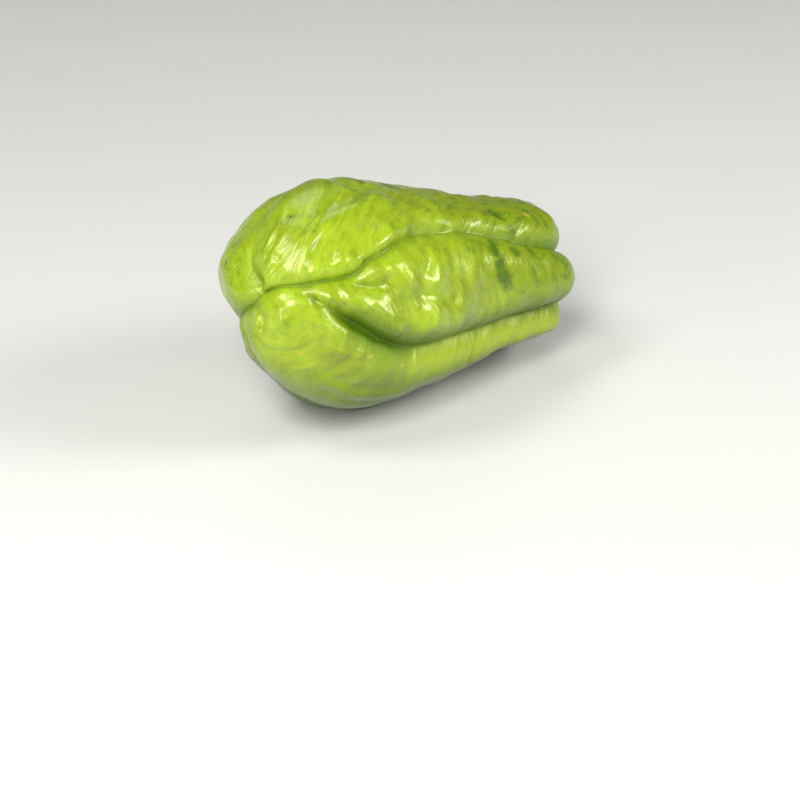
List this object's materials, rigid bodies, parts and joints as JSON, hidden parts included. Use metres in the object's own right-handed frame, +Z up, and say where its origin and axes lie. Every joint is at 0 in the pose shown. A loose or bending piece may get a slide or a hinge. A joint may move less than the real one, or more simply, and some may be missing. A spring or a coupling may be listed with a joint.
{
  "type": "chayote squash",
  "caption": "Whole pear-shaped chayote squash lying on its side, with deep lengthwise furrows, rounded lobes, a puckered blossom end and a small stem scar.",
  "frame": {"origin": "on the surface that the fruit lies on, under the middle of its length and width", "axes": "+X along the fruit from the broad blossom end to the narrow stem end, +Z up, and the side that the picture shows faces -Y"},
  "size_m": [0.1502, 0.0958, 0.0941],
  "materials": {
    "skin": "smooth waxy yellow-green fruit skin, with darker green mottling and fine wrinkles"
  },
  "bodies": {
    "root": {"fruit": "skin"}
  },
  "joints": []
}
